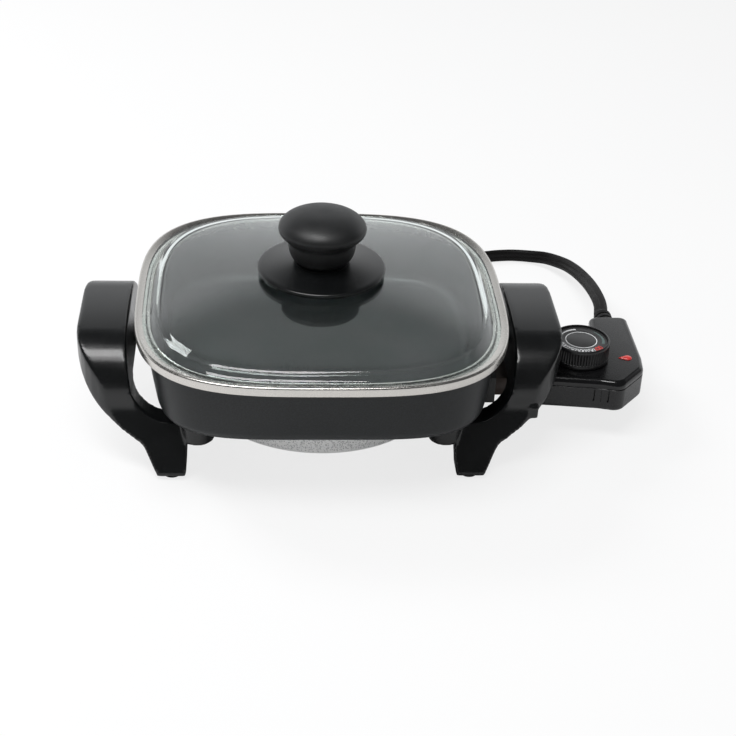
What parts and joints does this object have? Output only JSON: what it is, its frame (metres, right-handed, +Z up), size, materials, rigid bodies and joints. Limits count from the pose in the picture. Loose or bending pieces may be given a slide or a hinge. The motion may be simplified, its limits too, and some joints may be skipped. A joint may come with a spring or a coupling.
{
  "type": "electric skillet",
  "caption": "Small square electric skillet: coated pan on moulded leg handles, lift-off domed glass lid with steel rim and knob, plug-in dial temperature control and flat cord.",
  "frame": {"origin": "middle of the skillet's whole outline without its cord, on the table under the feet", "axes": "+X from the pan towards the plug-in control, +Y to the back where the cord leaves, +Z up"},
  "size_m": [0.365, 0.3384, 0.1466],
  "materials": {
    "coated_pan": "cast aluminium under a dark non-stick coating with a fine speckle",
    "element_sheath": "heat-darkened steel sheath",
    "plated_pins": "nickel plated",
    "white_ceramic": "unglazed white ceramic",
    "cast_well": "as cast",
    "cover_sheet": "mill finish sheet with fine dots",
    "dark_sheet": "dark painted sheet steel",
    "zinc_fixings": "zinc plated",
    "black_moulding": "satin black heat-resistant moulding",
    "black_rubber": "matte",
    "lid_glass": "clear tempered glass",
    "steel_band": "satin stainless steel",
    "pale_gasket": "pale silicone",
    "brass": "plain brass",
    "dark_case": "black moulding, matte top and glossy edges",
    "brown_block": "dark brown heat-resistant moulding",
    "probe_steel": "drawn stainless tube",
    "blade_alloy": "spring alloy strip",
    "lamp_glass": "small glass neon lamp",
    "red_window": "clear red plastic",
    "lead_cover": "sleeved wire",
    "dial_black": "satin black",
    "dial_print": "matte black face with white and red marks",
    "cord_black": "flat two-core black cord"
  },
  "bodies": {
    "skillet": {"pan": "coated_pan", "heating_element": "element_sheath", "terminal_pins": "plated_pins", "pin_beads": "white_ceramic", "probe_well": "cast_well", "element_cover": "cover_sheet", "cover_nut": "zinc_fixings", "terminal_guard": "dark_sheet", "guard_screws": "zinc_fixings", "left_handle": "black_moulding", "right_handle": "black_moulding", "handle_screws": "zinc_fixings", "foot_pads": "black_rubber"},
    "lid": {"lid_glass": "lid_glass", "lid_rim": "steel_band", "lid_knob": "black_moulding", "knob_base_guard": "black_moulding", "knob_ring": "black_rubber", "knob_insert": "brass", "knob_screw": "zinc_fixings", "knob_washer": "zinc_fixings", "glass_gasket": "pale_gasket"},
    "control": {"control_top": "dark_case", "control_bottom": "dark_case", "socket_block": "brown_block", "contact_sleeves": "brass", "probe_tube": "probe_steel", "probe_rod": "white_ceramic", "thermostat_frame": "zinc_fixings", "contact_blades": "blade_alloy", "bimetal_blade": "blade_alloy", "ceramic_spacers": "white_ceramic", "shaft_bush": "brass", "neon_lamp": "lamp_glass", "pointer_window": "red_window", "case_screws": "zinc_fixings", "supply_leads": "lead_cover", "strain_relief": "black_rubber", "power_cord": "cord_black", "cord_coil": "cord_black", "cord_tail": "cord_black", "cord_tie": "black_rubber", "plug_body": "cord_black", "plug_blades": "brass"},
    "dial": {"dial": "dial_black", "dial_face": "dial_print", "dial_shaft": "zinc_fixings"}
  },
  "joints": [
    {"name": "lid_lift", "type": "slide", "parent": "skillet", "child": "lid", "axis": [0, 0, 1], "range_m": [0, 0.15]},
    {"name": "control_pull", "type": "slide", "parent": "skillet", "child": "control", "axis": [1, 0, 0], "range_m": [0, 0.09]},
    {"name": "dial_turn", "type": "hinge", "parent": "control", "child": "dial", "pos_m": [0.1403, 0, 0.0439], "axis": [0, 0, 1], "range_deg": [0, 270]}
  ]
}
